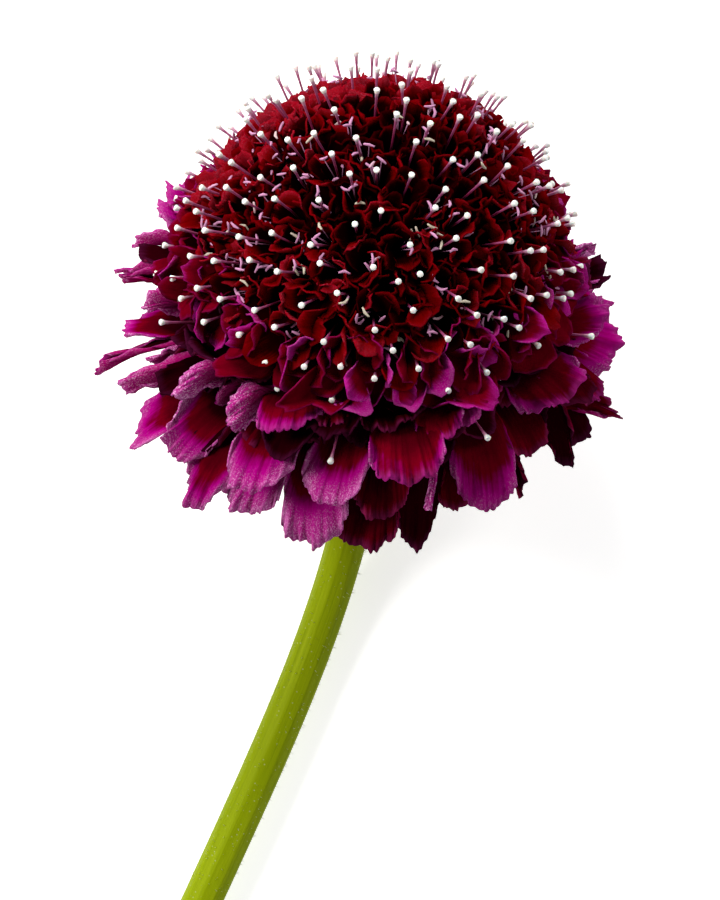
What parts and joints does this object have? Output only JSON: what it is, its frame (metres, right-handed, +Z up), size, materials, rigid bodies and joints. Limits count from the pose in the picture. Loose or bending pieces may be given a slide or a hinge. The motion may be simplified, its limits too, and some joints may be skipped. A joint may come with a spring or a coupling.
{
  "type": "scabiosa flower",
  "caption": "Cut scabiosa flower lying down, with a dome of small frilled florets and standing pins, a skirt of waved petals, green bracts and a bent stem.",
  "frame": {"origin": "on the surface the flower lies on, under the middle of its bounding box", "axes": "+Y is the way the head faces, seen from above, with the stem running back towards -Y; +Z is up from the surface; +X is to the right"},
  "size_m": [0.0615, 0.1227, 0.0462],
  "materials": {
    "stem": "soft satin, finely hairy",
    "bract": "matte, finely hairy",
    "small_floret": "velvety",
    "large_floret": "velvety, with a fine sheen"
  },
  "bodies": {
    "root": {"stem": "stem", "involucre": "bract", "small_florets": "small_floret", "large_florets": "large_floret"}
  },
  "joints": []
}
